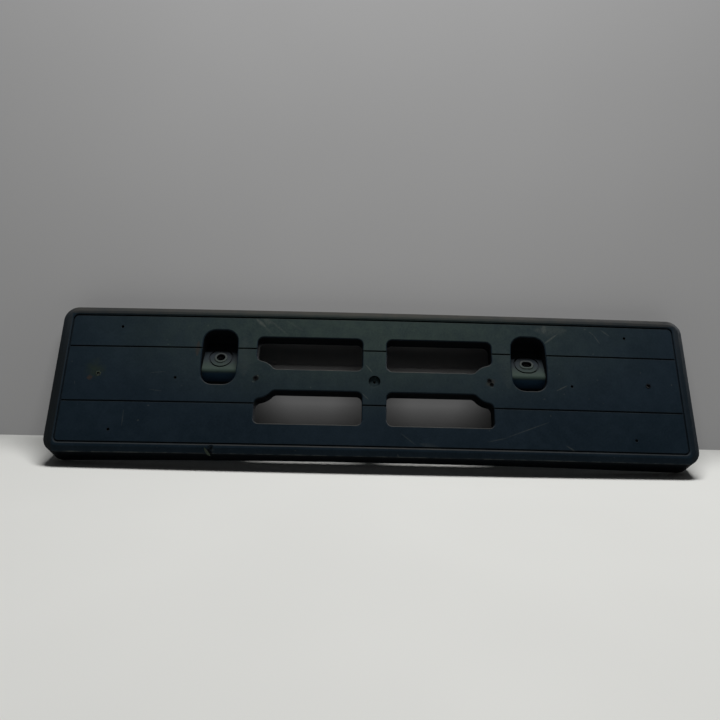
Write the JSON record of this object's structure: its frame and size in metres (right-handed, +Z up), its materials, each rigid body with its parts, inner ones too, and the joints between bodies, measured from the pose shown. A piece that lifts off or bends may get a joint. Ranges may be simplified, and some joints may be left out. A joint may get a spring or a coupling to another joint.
{
  "type": "number plate holder",
  "caption": "Shallow moulded holder for a car's number plate: a bowed, rimmed seat with windows, pilot holes for plate screws, and sunk pockets for the screws into the bumper.",
  "frame": {"origin": "middle of the face that the plate lies on", "axes": "+X to the right seen from the front, +Z up, the front faces -Y, as on the car"},
  "size_m": [0.5438, 0.0294, 0.1328],
  "materials": {
    "moulded_plastic": "fine-grained matte black, scuffed and dusty"
  },
  "bodies": {
    "root": {"plate_holder": "moulded_plastic"}
  },
  "joints": []
}
